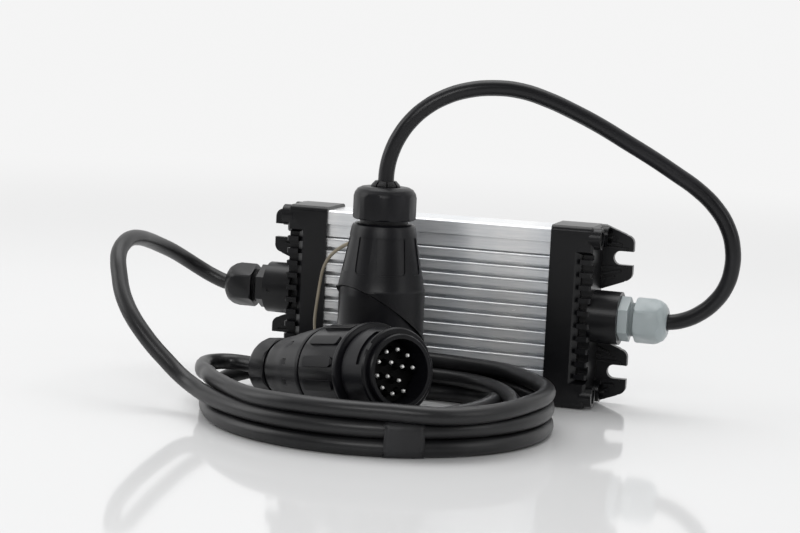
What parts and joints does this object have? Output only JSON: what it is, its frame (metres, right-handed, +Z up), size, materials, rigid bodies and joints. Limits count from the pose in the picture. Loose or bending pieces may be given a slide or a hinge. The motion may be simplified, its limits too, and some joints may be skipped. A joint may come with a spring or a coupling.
{
  "type": "brake controller unit",
  "caption": "Finned aluminium controller box with slotted mounting lugs, cable glands and a coiled lead joining a multi-pin plug and an in-line socket.",
  "frame": {"origin": "centre of the box's base, midway between the cap faces and between the front and back faces", "axes": "+X along the box towards the grey gland, +Y out of the mounting face, +Z up"},
  "size_m": [0.3614, 0.22, 0.1945],
  "materials": {
    "extrusion": "clear anodised, fine lengthwise die lines",
    "cap_plastic": "satin moulded black",
    "gasket_rubber": "matt",
    "screw_steel": "zinc plated",
    "board": "solder mask",
    "chip_black": "moulded epoxy",
    "clamp_steel": "spring steel",
    "capacitor_sleeve": "shrink sleeve",
    "copper_winding": "enamelled wire",
    "terminal_green": "moulded",
    "core_sheath": "extruded",
    "gland_grey": "satin nylon",
    "gland_black": "satin nylon",
    "seal_rubber": "matt",
    "lead_sheath": "semi-matt extruded",
    "vehicle_sheath": "semi-matt extruded",
    "cloth_tape": "woven tape",
    "tie_nylon": "glossy nylon",
    "connector_shell": "satin moulded black",
    "clamp_plastic": "glossy nylon",
    "collar_plastic": "satin moulded black",
    "insert_plastic": "matt moulded black",
    "pin_metal": "nickel plated",
    "contact_metal": "plated brass",
    "hinge_steel": "stainless"
  },
  "bodies": {
    "root": {"housing": "extrusion", "cap_right": "cap_plastic", "cap_left": "cap_plastic", "gasket_right": "gasket_rubber", "gasket_left": "gasket_rubber", "cap_screw_right_1": "screw_steel", "cap_screw_right_2": "screw_steel", "cap_screw_right_3": "screw_steel", "cap_screw_right_4": "screw_steel", "cap_screw_left_1": "screw_steel", "cap_screw_left_2": "screw_steel", "cap_screw_left_3": "screw_steel", "cap_screw_left_4": "screw_steel", "clamp_screws": "screw_steel", "circuit_board": "board", "processor_chip": "chip_black", "driver_chip": "chip_black", "inertia_sensor": "chip_black", "power_transistor_1": "chip_black", "power_transistor_2": "chip_black", "power_transistor_3": "chip_black", "clamp_bar": "clamp_steel", "capacitor_1": "capacitor_sleeve", "capacitor_2": "capacitor_sleeve", "inductor": "copper_winding", "terminal_block_right": "terminal_green", "terminal_block_left": "terminal_green", "inner_cores_right": "core_sheath", "inner_cores_left": "core_sheath", "gland_body_right": "gland_grey", "gland_nut_right": "gland_grey", "gland_body_left": "gland_black", "gland_nut_left": "gland_black", "gland_seal_right": "seal_rubber", "gland_seal_left": "seal_rubber", "trailer_lead": "lead_sheath", "lead_coil": "lead_sheath", "plug_lead": "lead_sheath", "vehicle_lead": "vehicle_sheath", "coil_tape": "cloth_tape", "coil_tie": "tie_nylon", "plug_nut": "connector_shell", "plug_rear_shell": "connector_shell", "socket_nut": "connector_shell", "socket_shell": "connector_shell", "plug_clamp": "clamp_plastic", "socket_clamp": "clamp_plastic", "socket_barrel": "collar_plastic", "plug_insert": "insert_plastic", "socket_insert": "insert_plastic", "plug_pins": "pin_metal", "socket_contacts": "contact_metal", "socket_lid_pin": "hinge_steel", "socket_lid_spring": "hinge_steel"},
    "locking_collar": {"plug_collar": "collar_plastic", "plug_barrel": "collar_plastic", "plug_seal": "seal_rubber"},
    "lid": {"socket_lid": "collar_plastic", "socket_lid_seal": "seal_rubber"}
  },
  "joints": [
    {"name": "collar_twist", "type": "hinge", "parent": "root", "child": "locking_collar", "pos_m": [0.027, -0.163, 0.04], "axis": [0.7991, -0.5805, 0.1564], "range_deg": [0, 90]},
    {"name": "lid_hinge", "type": "hinge", "parent": "root", "child": "lid", "pos_m": [-0.0476, -0.07677, 0.009], "axis": [-0.342, 0.9397, 0], "range_deg": [0, 85], "stiffness_Nm_per_rad": 0.05, "springref_deg": -34.38}
  ]
}
